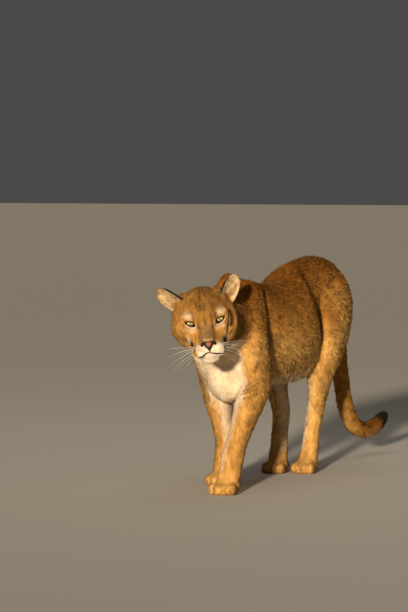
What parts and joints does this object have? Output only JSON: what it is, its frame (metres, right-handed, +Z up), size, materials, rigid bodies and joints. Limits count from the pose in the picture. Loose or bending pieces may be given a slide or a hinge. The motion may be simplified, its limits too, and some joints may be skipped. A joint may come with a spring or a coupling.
{
  "type": "life-size cougar model",
  "caption": "Still life-size model of a cougar walking slowly, head low and turned to its left, tail hanging in a curve.",
  "frame": {"origin": "on the floor, at the middle of the model's length and width", "axes": "+Z up; the animal faces -Y and its left side is +X"},
  "size_m": [0.2748, 1.6792, 0.7009],
  "materials": {
    "coat": "short dense tawny fur, browner along the back, cream on chest, chin and inner legs",
    "tail_tip_coat": "short dense dark brown fur",
    "eye": "wet, glossy amber eye with a dark pupil",
    "nose_leather": "bare, finely pebbled pink nose with dark edges"
  },
  "bodies": {
    "root": {"ear_left": "coat", "ear_right": "coat", "eye_left": "eye", "eye_right": "eye", "front_leg_left_lower": "coat", "front_leg_left_upper": "coat", "front_leg_right_lower": "coat", "front_leg_right_upper": "coat", "front_paw_left": "coat", "front_paw_right": "coat", "head": "coat", "hind_leg_left_lower": "coat", "hind_leg_left_upper": "coat", "hind_leg_right_lower": "coat", "hind_leg_right_upper": "coat", "hind_paw_left": "coat", "hind_paw_right": "coat", "neck": "coat", "nose": "nose_leather", "tail_middle": "coat", "tail_root": "coat", "tail_tip": "tail_tip_coat", "torso": "coat"}
  },
  "joints": []
}
